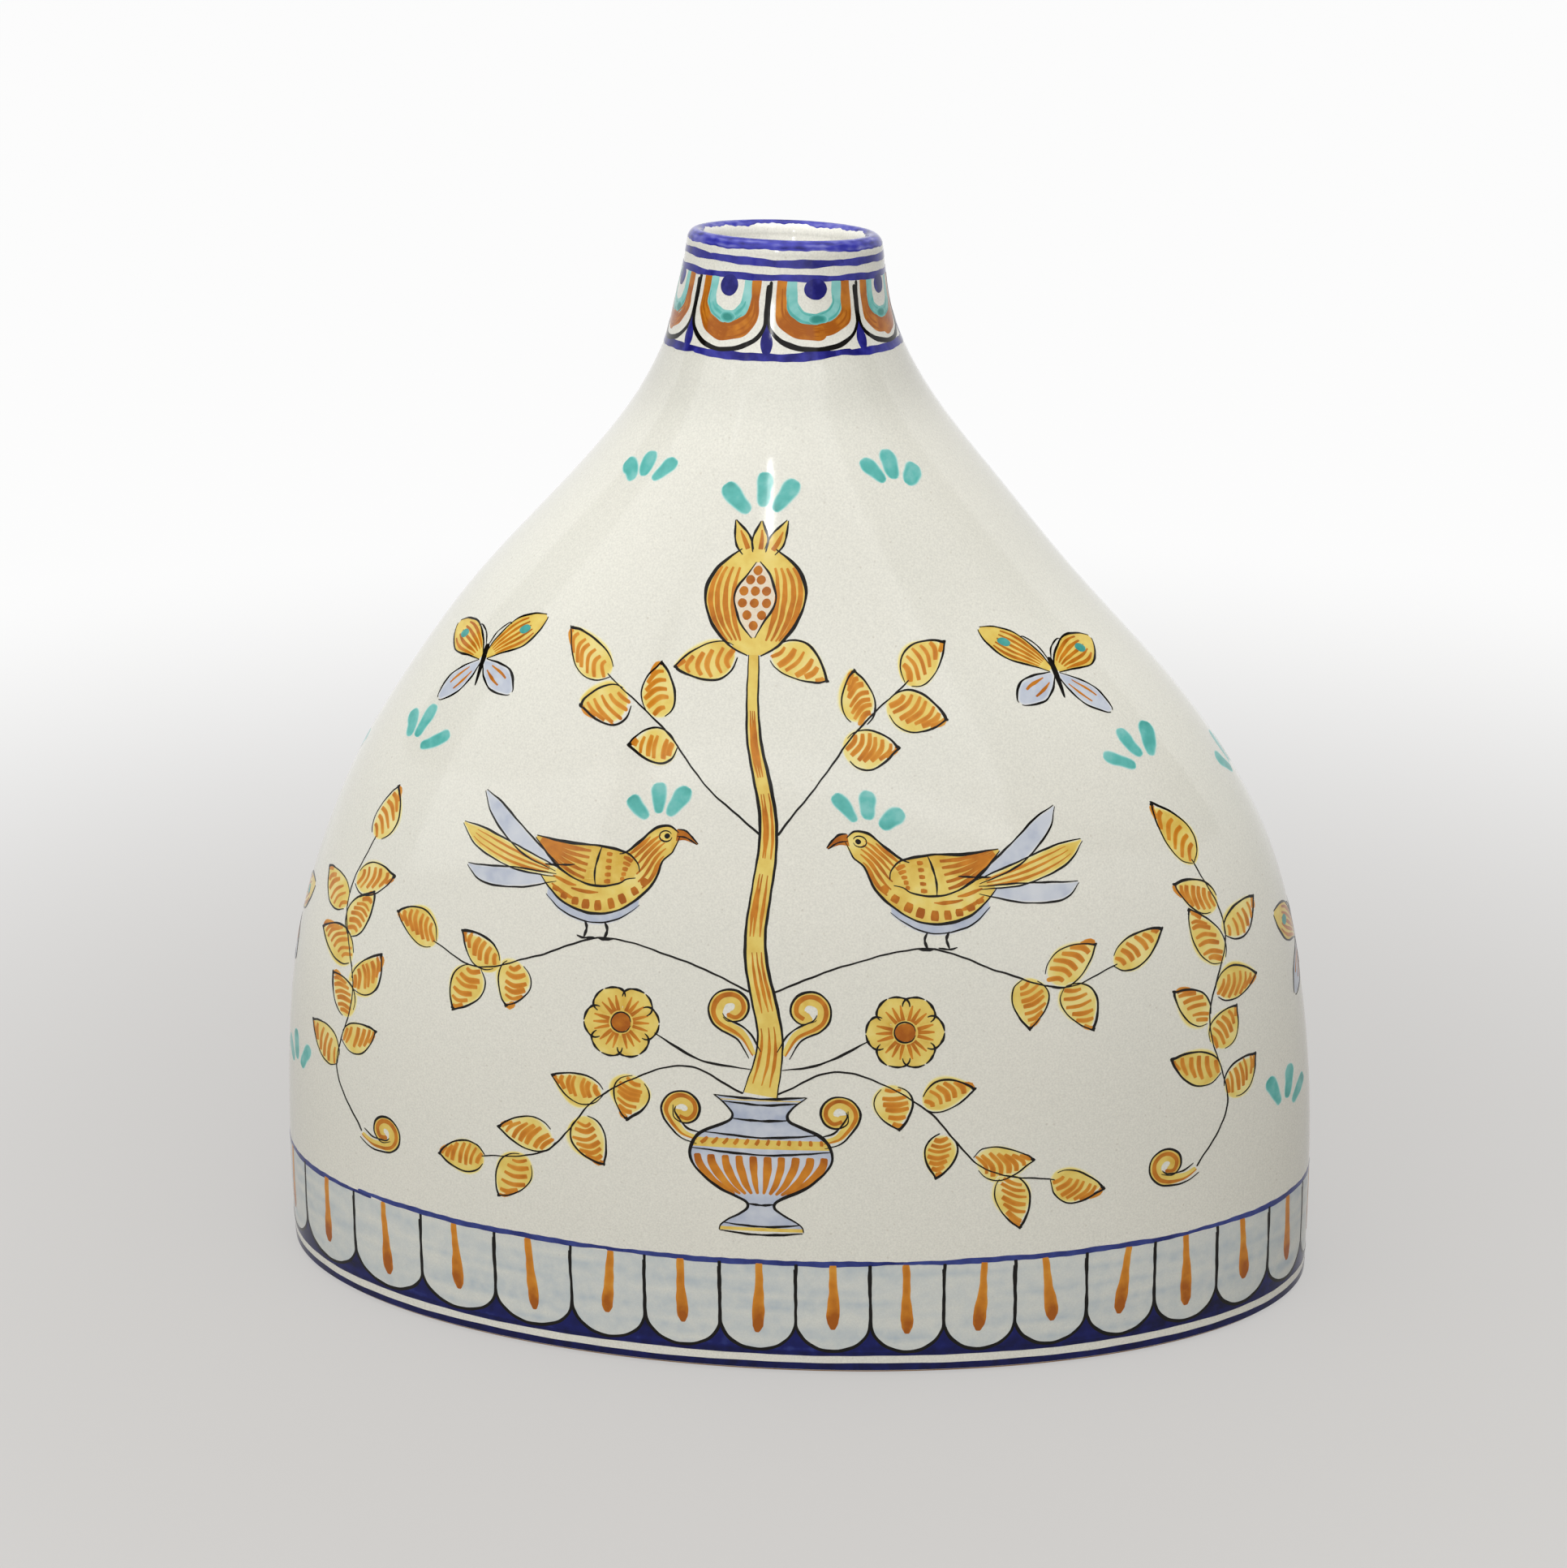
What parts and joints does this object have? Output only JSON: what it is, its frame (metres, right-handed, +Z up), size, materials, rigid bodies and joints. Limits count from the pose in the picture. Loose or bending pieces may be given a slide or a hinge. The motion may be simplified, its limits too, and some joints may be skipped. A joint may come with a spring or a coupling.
{
  "type": "vase",
  "caption": "Flattened oval earthenware flask vase with a wide low body, sloping shoulders and a short round neck, tin-glazed to hold water and cut flowers.",
  "frame": {"origin": "middle of the underside, on the surface that the vase stands on", "axes": "+Z up through the neck, +X along the wide side of the oval, -Y out of the painted front"},
  "size_m": [0.305, 0.15, 0.3],
  "materials": {
    "clay": "matte",
    "tin_glaze": "gloss"
  },
  "bodies": {
    "root": {"base_slab": "clay", "front_wall": "clay", "back_wall": "clay", "neck_collar": "clay", "body_glaze": "tin_glaze", "neck_glaze": "tin_glaze", "inner_glaze": "tin_glaze"}
  },
  "joints": []
}
